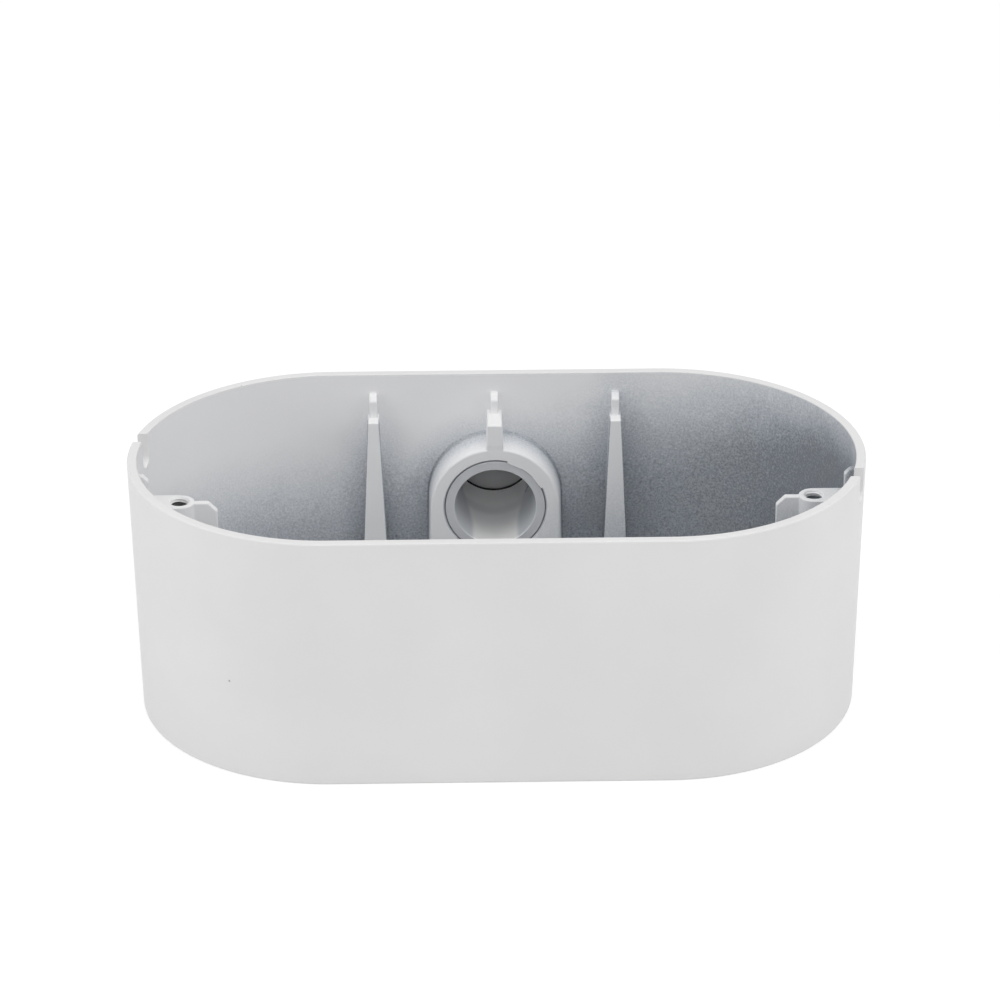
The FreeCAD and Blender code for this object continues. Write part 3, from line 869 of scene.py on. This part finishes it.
@dataclass
class CastBox:
    """The cast box: a long shell with round ends, ribs, blades, the entry's boss, screw posts and rim slots."""

    length: float = 189.985
    width: float = 103.985
    height: float = 69.0
    wall: float = 2.5
    floor: float = 3.0
    draft: float = 1.5
    rim_outer_round: float = 0.5
    rim_inner_round: float = 0.3
    base_round: float = 0.5
    floor_fillet: float = 2.0
    end_steps: int = 62
    rib_pitch: float = 32.3
    rib_top: float = 57.6
    rib_depth: float = 5.9
    rib_width: float = 3.1
    rib_side_angle: float = 2.6
    centre_rib_top: float = 58.5
    centre_rib_width: float = 3.9
    blade_top: float = 63.7
    blade_depth: float = 2.7
    blade_width: float = 2.1
    blade_corner: float = 1.5
    boss_radius: float = 17.2
    boss_depth: float = 9.8
    boss_foot: float = 2.4
    boss_round: float = 0.7
    boss_side_angle: float = 4.0
    pad_radius: float = 19.0
    pad_round: float = 0.4
    post_place: float = 82.0
    post_top: float = 56.1
    post_radius: float = 4.0
    wing_reach: float = 9.8
    wing_drop: float = 0.25
    wing_thickness: float = 2.0
    wing_chamfer: float = 2.3
    slot_width: float = 4.8
    slot_depth: float = 8.6
    slot_offset: float = 11.4
    other_slot_offset: float = 13.8
    slot_reach: float = 5.0
    fixing_x: float = 60.0
    fixing_y: float = 30.0
    fixing_radius: float = 2.75
    cable_hole_radius: float = 13.0
    lip_recess_radius: float = 16.8
    lip_recess_depth: float = 1.0
    thread_core: float = 2.1
    thread_outer: float = 2.5
    thread_pitch: float = 0.8
    thread_run_out: float = 3.0
    hole_bottom: float = 40.1
    countersink: float = 0.6
    cast_round: float = 0.35
    junction_fillet: float = 0.3
    junction_turn: float = -25.0
    mouth_chamfer: float = 0.4
    seam_gap: float = 0.22
    seam_depth: float = 1.4
    lip_turns: Range = (24.0, 76.0)
    lip_steps: tuple[Range, ...] = ((0.95, 0.02), (0.7, 0.22), (0.32, 0.04), (0.08, 0.16), (-1.0, 0.0))
    stagger: float = 0.15

    @property
    def lean(self) -> float:
        """How far a wall moves in for each millimetre down."""
        return math.tan(math.radians(self.draft))

    @property
    def spine(self) -> float:
        """Half the distance between the centres of the round ends."""
        return (self.length - self.width) / 2

    def outer(self, z: float) -> float:
        """The outside radius of the round ends at a height."""
        return self.width / 2 - (self.height - z) * self.lean

    def inner(self, z: float) -> float:
        """The inside radius of the round ends at a height."""
        return self.outer(z) - self.wall

    @property
    def heart(self) -> float:
        """A radius that lies inside the wall at every height."""
        return (self.inner(self.height) + self.outer(0.0)) / 2

    def shell(self) -> Piece:
        """Spins and extrudes the wall's section into the open shell.

        Returns:
            The shell.
        """
        x0, top = self.spine, self.height
        corners = [
            (x0, 0.0, 0.0),
            (x0 + self.outer(0.0), 0.0, 0.0),
            (x0 + self.outer(top), 0.0, top),
            (x0 + self.inner(top), 0.0, top),
            (x0 + self.inner(self.floor), 0.0, self.floor),
            (x0, 0.0, self.floor),
        ]
        piece = add_outline("box_casting", corners, closed=False)
        radii = (self.base_round, self.rim_outer_round, self.rim_inner_round, self.floor_fillet)
        round_corners(piece, dict(zip(corners[1:5], radii)), 5)
        with editing(piece, Element.EDGES, everything=True):
            rotate(math.pi / 2, "Z", (x0, 0, 0))
        with editing(piece, Element.EDGES, everything=True):
            across = sum(v.co.y for v in piece.data.vertices)
            turn = -math.pi if across < 0 else math.pi
            for end in (1, -1):
                bpy.ops.mesh.spin(steps=self.end_steps, angle=turn, center=(end * x0, 0, 0), axis=(0, 0, 1))
                bpy.ops.mesh.extrude_edges_move(TRANSFORM_OT_translate={"value": (-2 * end * x0, 0, 0)})
        tidy_mesh(piece)
        return piece

    def fin(self, name: str, low: Point, high: Point, side: int, chamfer: float = 0.0, lean: float = 0.0) -> Piece:
        """A thin form cast on the rear or the right wall or on the post, its free edges rounded.

        Args:
            name: its name.
            low: its lowest corner, on its free side.
            high: its highest corner, hidden in what it grows from.
            side: the axis along which it grows, 0 for x and 1 for y.
            chamfer: how much of its top free corner is cut off.
            lean: how far its sides lean out towards its foot, in degrees.

        Returns:
            The form.
        """
        piece = add_block(name, low, high)
        corner = (Vector(low) + Vector(high)) / 2
        if lean > 0.0:
            spread = 1 + 2 * (high[2] - low[2]) * math.tan(math.radians(lean)) / (high[0] - low[0])
            with editing(piece):
                select(piece, Element.FACES, lambda f: f.normal.z < -0.9)
                bpy.ops.transform.resize(value=(spread, 1, 1), center_override=corner)
        corner[side], corner.z = low[side], high[2]
        if chamfer > 0.0:
            bevel_edges(piece, lambda e: (middle_of(e) - corner).length < NEAR, chamfer, 1)

        def free(edge: Edge) -> bool:
            """True for an outward edge that is neither hidden nor at the foot."""
            at = middle_of(edge)
            return at[side] < high[side] - NEAR and at.z > low[2] + NEAR and face_angle(edge) > LEAST_TURN

        bevel_edges(piece, free, self.cast_round)
        return piece

    def rib(self, name: str, x: float, face: float, top: float, width: float) -> Piece:
        """A rib on the rear wall, at a place along it, from its face to inside the wall and as wide at its top."""
        return self.fin(name, (x - width / 2, face, self.floor / 2), (x + width / 2, self.heart, top), 1,
                        lean=self.rib_side_angle)

    def blade(self) -> Piece:
        """The thin blade above the rear right rib, its top inner corner cut off."""
        x, half, top = self.rib_pitch, self.blade_width / 2, self.blade_top
        return self.fin("blade", (x - half, self.inner(top) - self.blade_depth, self.rib_top - self.blade_width),
                        (x + half, self.heart - self.stagger, top), 1, self.blade_corner)

    def end_blade(self) -> Piece:
        """The blade on the right end wall, above the post's web."""
        x0, half, top = self.spine, self.blade_width / 2, self.blade_top
        return self.fin("end_blade", (x0 + self.inner(top) - self.blade_depth, -half, self.post_top - 2 * half),
                        (x0 + self.heart - self.stagger, half, top), 0, self.blade_corner)

    def boss(self) -> Piece:
        """The arched boss of the cable entry, down to the floor.

        Returns:
            The boss.
        """
        face, foot = ENTRY.boss_face, self.boss_foot
        spread = self.boss_radius + (ENTRY.height - foot) * self.lean
        points = [(across, face, ENTRY.height + up) for across, up in arc(48, math.pi, self.boss_radius)]
        piece = add_outline("entry_boss", points + [(-spread, face, foot), (spread, face, foot)])
        reach = self.heart + self.stagger - face
        wider = 1 + reach * math.tan(math.radians(self.boss_side_angle)) / self.boss_radius
        pull(piece, (0, reach, 0), (wider, 1, wider), ENTRY.at(0))
        bevel_edges(piece, lambda e: abs(middle_of(e).y - face) < NEAR and middle_of(e).z > foot + 0.1,
                    self.boss_round, 5)
        return piece

    def post(self) -> Piece:
        """The right screw post with its web to the end wall and its wing towards the middle, top edges rounded.

        Returns:
            The post.
        """
        x, top, foot, hidden = self.post_place, self.post_top, self.floor / 2, self.spine + self.heart
        piece = add_rod("post", (x, 0, foot), top - foot, self.post_radius, 48)
        web = add_block("web", (x, -self.post_radius, foot), (hidden, self.post_radius, top))
        combine(piece, Cut.JOIN, web)
        tidy_mesh(piece)
        with editing(piece, Element.FACES):
            select(piece, Element.FACES, lambda f: f.normal.z > 0.99)
            bpy.ops.mesh.dissolve_faces()
        bevel_edges(piece, lambda e: abs(middle_of(e).z - top) < NEAR and middle_of(e).x < hidden - NEAR
                    and face_angle(e) > LEAST_TURN, self.cast_round)
        half, wing_top = self.wing_thickness / 2, top - self.wing_drop
        wing = self.fin("wing", (x - self.wing_reach, -half, foot + self.stagger), (x, half, wing_top), 0,
                        self.wing_chamfer)
        combine(piece, Cut.JOIN, wing)
        return piece

    def tap(self) -> Piece:
        """The solid that cuts the right threaded screw hole: a rod with a helical ridge and a countersink.

        Returns:
            The solid.
        """
        x, core, bottom, pitch = self.post_place, self.thread_core, self.hole_bottom, self.thread_pitch
        piece = add_rod("tap", (x, 0, bottom), self.post_top + pitch - bottom, core, 32)
        with editing(piece, Element.EDGES):
            select(piece, Element.EDGES, lambda e: abs(e.verts[0].co.z - e.verts[1].co.z) > 1)
            bpy.ops.mesh.subdivide(number_cuts=159)

        def threaded(at: Vector) -> Vector:
            """Moves a place on the plain rod out to the thread.

            Args:
                at: the place.

            Returns:
                The new place.
            """
            flat = Vector((at.x - x, at.y, 0))
            phase = (at.z / pitch - math.atan2(flat.y, flat.x) / math.tau) % 1.0
            ridge = min(1.0, max(0.0, 1.6 - abs(phase - 0.5) * 4.0))
            fade = min(1.0, max(0.0, (at.z - bottom - self.thread_run_out) / 2.0))
            flat *= (core + (self.thread_outer - core) * ridge * fade) / flat.length
            return Vector((x + flat.x, flat.y, at.z))

        move_vertices(piece, threaded)
        sink = add_rod("sink", (x, 0, self.post_top - self.countersink), self.countersink * 2, core, 48,
                       end_radius=core + 2 * self.countersink)
        combine(piece, Cut.JOIN, sink)
        return piece

    def slot(self) -> Piece:
        """The solid that cuts the round-bottomed slot into the rim at the right end.

        Returns:
            The solid.
        """
        x, y, half = self.spine + self.heart - self.slot_reach, -self.other_slot_offset, self.slot_width / 2
        bottom, over = self.height - self.slot_depth + half, self.height + 5.0
        points = [(x, y + across, bottom + up) for across, up in arc(16, -math.pi, half)]
        piece = add_outline("slot", points + [(x, y - half, over), (x, y + half, over)])
        pull(piece, (2 * self.slot_reach, 0, 0))
        return piece

    def lip(self) -> Piece:
        """The ragged lip of the entry's mouth that covers the sleeve's seam at the upper right.

        Returns:
            The lip.
        """
        low, high = (math.radians(turn) for turn in self.lip_turns)
        front, back = ENTRY.boss_face + 0.004, ENTRY.sleeve_face - 0.02
        middle, hole = ENTRY.at(ENTRY.boss_face), ENTRY.hole_radius
        corners = [(hole - 0.2, front), (hole + 0.8, front), (hole + 0.8, back), (hole - 0.2, back)]
        piece = add_outline("mouth_lip", [(r, y, ENTRY.height) for r, y in corners])
        fill(piece)
        with editing(piece, everything=True):
            rotate(low, "Y", middle)
            bpy.ops.mesh.spin(steps=20, angle=high - low, center=middle, axis=Along.BACK.value)

        def ragged(at: Vector) -> Vector:
            """Moves a place on the lip's inner side in by its step.

            Args:
                at: the place.

            Returns:
                The new place, or the same one on the outer side.
            """
            flat = Vector((at.x, 0, at.z - ENTRY.height))
            if flat.length > hole:
                return at
            share = (math.atan2(flat.z, flat.x) - low) / (high - low)
            step = next(reach for start, reach in self.lip_steps if share >= start - NEAR)
            flat *= (hole - step) / flat.length
            return Vector((flat.x, at.y, ENTRY.height + flat.z))

        move_vertices(piece, ragged)
        tidy_mesh(piece)
        return piece

    def unite(self) -> Piece:
        """Joins the shell, the pad and everything cast on the inside into one solid.

        Returns:
            The solid, without its openings.
        """
        piece, pitch = self.shell(), self.rib_pitch
        pad = add_rod("pad", ENTRY.at(self.heart), ENTRY.pad_face - self.heart, self.pad_radius, along=Along.BACK)
        bevel_edges(pad, lambda e: abs(middle_of(e).y - ENTRY.pad_face) < NEAR, self.pad_round)
        parts = [pad, self.boss(),
                 self.rib("centre_rib", 0.0, ENTRY.boss_face + 0.03, self.centre_rib_top, self.centre_rib_width)]
        rib = self.rib("rib", pitch, self.inner(self.rib_top) - self.rib_depth, self.rib_top, self.rib_width)
        blade = self.blade()
        for form, rear in ((rib, (2,)), (blade, (1, 2))):
            parts += [form, *(copied(form, (-count * pitch, 0, 0)) for count in rear)]
            parts += [copied(form, (count * pitch, 0, 0), True) for count in range(3)]
        for form in (self.post(), self.end_blade()):
            parts += [form, copied(form, turned=True)]
        for part in parts:
            combine(piece, Cut.JOIN, part)
        return piece

    def cut_openings(self, piece: Piece) -> None:
        """Cuts the entry's hole, the screw holes, the floor's holes and the rim slots.

        Args:
            piece: the united casting.
        """
        mouth, depth, hole = self.mouth_chamfer, ENTRY.pad_face - ENTRY.boss_face, ENTRY.hole_radius
        seam = hole + self.seam_gap
        cutters = [lathe("entry_hole", [
            (0, -mouth, 0), (seam + 2 * mouth, -mouth, 0), (seam, mouth, 0), (seam, self.seam_depth, 0),
            (hole, self.seam_depth + self.seam_gap, 0), (hole, depth + 1, 0), (0, depth + 1, 0),
        ], ENTRY.at(ENTRY.boss_face), steps=FINE_STEPS)]
        tap, slot = self.tap(), self.slot()
        cutters += [tap, copied(tap, turned=True)]
        cutters += [slot, copied(slot, (0, self.slot_offset - self.other_slot_offset, 0), True)]
        fixing = add_rod("fixing", (self.fixing_x, self.fixing_y, -2), self.floor + 4, self.fixing_radius, 48)
        across, back = (-2 * self.fixing_x, 0, 0), (0, -2 * self.fixing_y, 0)
        cutters += [fixing, copied(fixing, across), copied(fixing, back), copied(fixing, turned=True)]
        wide, recess, over = self.lip_recess_radius, self.lip_recess_depth, self.floor + 1
        cutters.append(lathe("cable_hole", [
            (0, -1, 0), (wide, -1, 0), (wide, recess, 0.2), (self.cable_hole_radius, recess, 0),
            (self.cable_hole_radius, over, 0), (0, over, 0),
        ], (0, 0, 0), Along.UP))
        combine(piece, Cut.REMOVE, *cutters)
        combine(piece, Cut.JOIN, self.lip())

    def is_junction(self, edge: Edge) -> bool:
        """Tells an inward edge inside the box, where a rib, boss or post meets the wall or floor.

        Args:
            edge: an edge of the casting.

        Returns:
            True for such an edge.
        """
        at = middle_of(edge)
        end = abs(at.x) - self.spine
        inside = math.hypot(max(end, 0.0), at.y) < self.inner(at.z) + 0.3 and at.z > self.floor - 0.1
        in_hole = math.hypot(abs(at.x) - self.post_place, at.y) < self.thread_outer + 0.3
        in_bore = at.y > 30 and math.hypot(at.x, at.z - ENTRY.height) < ENTRY.hole_radius + 1.5
        at_edge = abs(at.x) < self.centre_rib_width and 30 < at.y < ENTRY.boss_face + self.boss_round + 0.05
        low = at.z < (self.post_top if end > 0 else self.rib_top) - 0.6
        return inside and low and not (in_hole or in_bore or at_edge) and face_angle(edge) < self.junction_turn

    def build(self) -> Piece:
        """Builds the whole casting.

        Returns:
            The finished mesh object.
        """
        piece = self.unite()
        self.cut_openings(piece)
        tidy_mesh(piece)
        bevel_edges(piece, self.is_junction, self.junction_fillet)
        tidy_mesh(piece)
        return piece

    def split_finishes(self, piece: Piece) -> None:
        """Gives the inside faces the second finish.

        Args:
            piece: the dressed casting.
        """
        margin = 0.35
        for face in piece.data.polygons:
            at = face.center / MM
            radius = math.hypot(max(abs(at.x) - self.spine, 0.0), at.y)
            inside = radius < self.inner(at.z) + margin and self.floor / 2 < at.z < self.height - margin
            face.material_index = int(inside)


@dataclass
class EntryFittings:
    """The threaded sleeve, and outside the box the gasket, hub, seal ring and screw cap on its axis."""

    sleeve_round: float = 0.25
    sleeve_chamfer: float = 0.15
    gasket_radius: float = 18.0
    hub_flats: float = 36.0
    hub_hex: float = 9.0
    spigot_radius: float = 14.6
    spigot_round: float = 0.4
    flat_turn: float = 0.3
    corner_chamfer: float = 1.2
    cap_flats: float = 34.0
    cap_play: float = 0.05
    seal_inner: float = 10.68
    seal_outer: float = 14.0
    seal_round: float = 0.3

    def sleeve(self) -> Piece:
        """The hollow sleeve, its thread's crests seen only as the seam round its face."""
        length, radius, chamfer = ENTRY.sleeve_end - ENTRY.sleeve_face, ENTRY.thread_radius, self.sleeve_chamfer
        return lathe("threaded_sleeve", [
            (ENTRY.bore_radius, 0, self.sleeve_round), (radius - chamfer, 0, 0), (radius, chamfer, 0),
            (radius, length - chamfer, 0), (radius - chamfer, length, 0), (ENTRY.bore_radius, length, 0),
        ], ENTRY.at(ENTRY.sleeve_face), steps=FINE_STEPS)

    def ring(self, name: str, start: float, end: float, inner: float, outer: float, inner_round: float) -> Piece:
        """A flat rubber ring round the entry's axis, its outer edges round, and its inner ones as they are given."""
        near, far = (inner, inner_round), (outer, self.seal_round)
        return lathe(name, [(near[0], 0, near[1]), (far[0], 0, far[1]), (far[0], end - start, far[1]),
                            (near[0], end - start, near[1])], ENTRY.at(start))

    def hub(self) -> Piece:
        """The hexagonal hub with its spigot and its stepped bore.

        Returns:
            The hub.
        """
        foot = ENTRY.at(ENTRY.hub_foot)
        length, socket = ENTRY.hub_end - ENTRY.hub_foot, ENTRY.sleeve_end - ENTRY.hub_foot
        radius, hole, bore = self.spigot_radius, ENTRY.hole_radius, ENTRY.bore_radius
        piece = hexagon("hexagonal_hub", foot, self.hub_hex, self.hub_flats, self.corner_chamfer)
        spigot = lathe("spigot", [(0, 1, 0), (radius, 1, 0), (radius, length, self.spigot_round), (0, length, 0)], foot)
        combine(piece, Cut.JOIN, spigot)
        room = lathe("bore", [
            (0, -1, 0), (hole, -1, 0), (hole, socket, 0), (bore, socket, 0), (bore, length + 1, 0), (0, length + 1, 0),
        ], foot, steps=FINE_STEPS)
        combine(piece, Cut.REMOVE, room)
        tidy_mesh(piece)
        with editing(piece, everything=True):
            bpy.ops.mesh.dissolve_limited(angle_limit=math.radians(self.flat_turn))
        return piece

    def cap(self) -> Piece:
        """The hexagonal screw cap over the hub's spigot.

        Returns:
            The cap.
        """
        foot, depth = ENTRY.at(ENTRY.cap_start), ENTRY.cap_face - ENTRY.cap_start
        piece = hexagon("hexagonal_cap", foot, ENTRY.cap_end - ENTRY.cap_start, self.cap_flats, self.corner_chamfer)
        radius = self.spigot_radius + self.cap_play
        room = lathe("thread_room", [
            (0, -1, 0), (radius + 1.4, -1, 0), (radius, 0.4, 0), (radius, depth, 0), (0, depth, 0),
        ], foot)
        combine(piece, Cut.REMOVE, room)
        tidy_mesh(piece)
        return piece

    def build(self) -> None:
        """Builds and dresses the five pieces."""
        # the bore's two greys are painted light: a bright painted highlight in the wedge along the bottom and painted
        # shade on the sides; on the dark cap's end face the middle is painted darker than the sides
        bare = TurnedAlloy("turned_alloy", (0.6, 0.605, 0.62), (0.56, 0.57, 0.59), (1.0, 0.995, 0.985),
                           (0.7, 0.72, 0.75), 0.3, 0.04)
        dark = TurnedAlloy("dark_cap_alloy", grey(0.4), grey(0.36), grey(0.54), grey(0.6), 0.45, 0.1)
        black = Rubber("black_rubber_finish", grey(0.02), grey(0.045))
        dress(self.sleeve(), [bare], "bare_alloy", "entry_sleeve")
        dress(self.hub(), [bare], "bare_alloy", "conduit_hub")
        dress(self.cap(), [dark], "dark_alloy", "screw_cap")
        gasket = self.ring("flat_gasket", ENTRY.pad_face, ENTRY.hub_foot, ENTRY.hole_radius, self.gasket_radius, 0.0)
        dress(gasket, [black], "black_rubber", "hub_gasket")
        seal = self.ring("seal_ring", ENTRY.hub_end, ENTRY.cap_face, self.seal_inner, self.seal_outer, self.seal_round)
        dress(seal, [black], "black_rubber", "cap_seal_ring")


@dataclass
class Grommet:
    """The rubber grommet that closes the floor's cable hole."""

    floor: float = 3.0
    neck: float = 12.95
    wall: float = 2.2
    lip_radius: float = 16.0
    recess: float = 1.0
    play: float = 0.05
    flange_radius: float = 16.5
    flange_thickness: float = 1.5
    flange_round: float = 0.5
    edge_round: float = 0.3
    membrane: float = 1.2
    ridges: int = 3
    ridge_height: float = 0.35
    ridge_halves: Range = (0.5, 0.2)

    def build(self) -> Piece:
        """Builds the grommet, with cutting ridges round its membrane.

        Returns:
            The grommet.
        """
        floor, play, edge, bore = self.floor, self.play, self.edge_round, self.neck + self.play - self.wall
        top, (foot, crest) = floor + self.flange_thickness, self.ridge_halves
        ridges = []
        for count in range(1, self.ridges + 1):
            middle = bore / (self.ridges + 1) * count
            ridges += [(middle - foot, floor, 0), (middle - crest, floor + self.ridge_height, 0),
                       (middle + crest, floor + self.ridge_height, 0), (middle + foot, floor, 0)]
        return lathe("cable_grommet", [
            (0, floor - self.membrane, 0), (bore, floor - self.membrane, edge), (bore, play, 0.2),
            (self.lip_radius, play, edge), (self.lip_radius, self.recess, edge), (self.neck, self.recess, 0),
            (self.neck, floor, 0), (self.flange_radius, floor, 0.2), (self.flange_radius, top, self.flange_round),
            (bore, top, self.flange_round), (bore, floor, edge), *reversed(ridges), (0, floor, 0),
        ], (0, 0, 0), Along.UP)


@dataclass
class Studio:
    """Camera, lamps, world and floor."""

    focal: float = 170.87
    sensor: float = 36.0
    clip: Range = (0.05, 50.0)
    camera_place: Point = (-0.01198718, -1.10321009, 0.59172118)
    camera_turn: Point = (1.11837912, 0.00544134, -0.01425472)
    aim: Point = (0.0, 0.0, 0.03)
    lamps: tuple[tuple[str, Point, float, float], ...] = (
        ("top_lamp", (0.0, -0.1, 1.2), 1.4, 5.0),
        ("left_lamp", (-1.3, -0.4, 0.7), 1.0, 6.8),
        ("right_lamp", (1.3, -0.4, 0.7), 1.0, 6.5),
        ("front_lamp", (0.0, -1.15, 0.72), 0.5, 2.0),
    )
    surround: float = 0.53
    floor_radius: float = 6.0
    floor_drop: float = 0.05
    floor_level: float = 0.8
    shadow_share: float = 0.35
    glow: float = 0.7

    def camera(self) -> None:
        """Sets up the camera."""
        data = bpy.data.cameras.new("camera")
        data.sensor_width = self.sensor
        data.lens = self.focal
        data.clip_start, data.clip_end = self.clip
        camera = bpy.data.objects.new("camera", data)
        camera.location = self.camera_place
        camera.rotation_euler = self.camera_turn
        bpy.context.scene.collection.objects.link(camera)
        bpy.context.scene.camera = camera

    def lamp(self, name: str, place: Point, size: float, power: float) -> None:
        """A square soft lamp that points at the object.

        Args:
            name: the lamp's name.
            place: where it is, in metres.
            size: its side, in metres.
            power: its power in watts.
        """
        data = bpy.data.lights.new(name, "AREA")
        data.shape = "SQUARE"
        data.size = size
        data.energy = power
        lamp = bpy.data.objects.new(name, data)
        lamp.location = place
        lamp.rotation_mode = "QUATERNION"
        lamp.rotation_quaternion = (Vector(place) - Vector(self.aim)).to_track_quat("Z", "Y")
        bpy.context.scene.collection.objects.link(lamp)

    def world(self) -> None:
        """An even pale surround that is white where it shows."""
        world = bpy.data.worlds.new("surround")
        nodes = Nodes(world, "OutputWorld")
        shade = nodes.node("Background", {"Color": grey(1.0), "Strength": self.surround})
        shown = nodes.node("Background", {"Color": grey(1.0)})
        nodes.show(nodes.mixed(nodes.seen_rays(), shade, shown))
        bpy.context.scene.world = world

    def floor(self) -> None:
        """A wide pale floor, white where it shows, with a soft shadow of the object, and clear from below."""
        bpy.ops.object.select_all(action="DESELECT")
        bpy.ops.mesh.primitive_circle_add(vertices=64, radius=self.floor_radius, fill_type="NGON",
                                          location=(0, 0, -self.floor_drop * MM))
        piece = new_piece("floor")
        material = bpy.data.materials.new("pale_floor")
        nodes = Nodes(material)
        plain = nodes.node("BsdfDiffuse", {"Color": grey(self.floor_level)})
        shaded = nodes.node("BsdfDiffuse", {"Color": grey(self.shadow_share)})
        light = nodes.node("Emission", {"Strength": self.glow})
        above = nodes.mixed(nodes.seen_rays(), plain, nodes.node("AddShader", {0: shaded, 1: light}))
        below = nodes.node("NewGeometry", output="Backfacing")
        nodes.show(nodes.mixed(below, above, nodes.node("BsdfTransparent")))
        piece.data.materials.append(material)

    def build(self) -> None:
        """Sets the whole studio up."""
        self.camera()
        self.world()
        for lamp in self.lamps:
            self.lamp(*lamp)
        self.floor()
        bpy.context.scene.view_settings.view_transform = "Standard"


def main() -> None:
    """Builds the studio and the pieces in order."""
    logging.basicConfig(level=logging.INFO, format="%(name)s %(message)s")
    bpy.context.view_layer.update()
    Studio().build()
    casting = CastBox()
    casting.split_finishes(dress(casting.build(), [PowderCoat(), ThinCoatAndShade()], "coated_casting", "box_body"))
    EntryFittings().build()
    dark_grey = Rubber("grey_rubber_finish", (0.1, 0.1, 0.105), (0.16, 0.16, 0.165))
    dress(Grommet().build(), [dark_grey], "grey_rubber", "floor_grommet")


if __name__ == "__main__":
    main()
